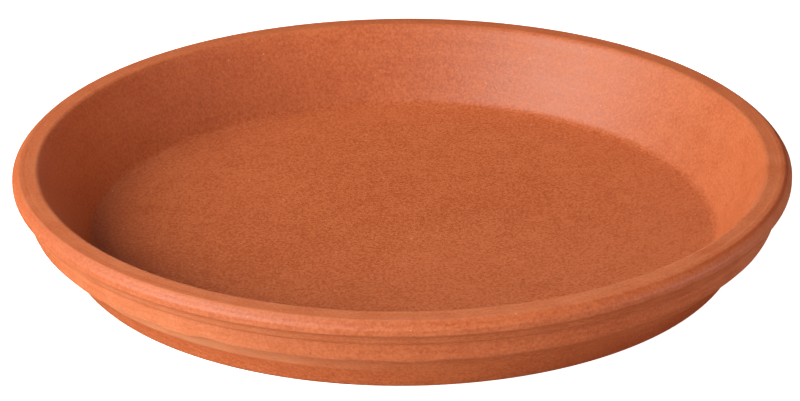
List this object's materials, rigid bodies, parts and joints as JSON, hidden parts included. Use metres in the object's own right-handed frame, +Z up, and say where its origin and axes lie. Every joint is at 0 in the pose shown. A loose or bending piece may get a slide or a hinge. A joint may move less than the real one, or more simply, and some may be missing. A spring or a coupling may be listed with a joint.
{
  "type": "plant pot saucer",
  "caption": "Shallow round dish with a flat floor, an outward-sloping wall, a turned bead and band outside and a thick rounded rim; it stands under a plant pot and catches drips.",
  "frame": {"origin": "centre of the underside, on the plane that the foot stands on", "axes": "+Z up along the axis that the dish was turned about; X and Y are any two directions across it"},
  "size_m": [0.3, 0.3, 0.0353],
  "materials": {
    "fired_clay": "matte, unglazed"
  },
  "bodies": {
    "root": {"saucer_body": "fired_clay"}
  },
  "joints": []
}
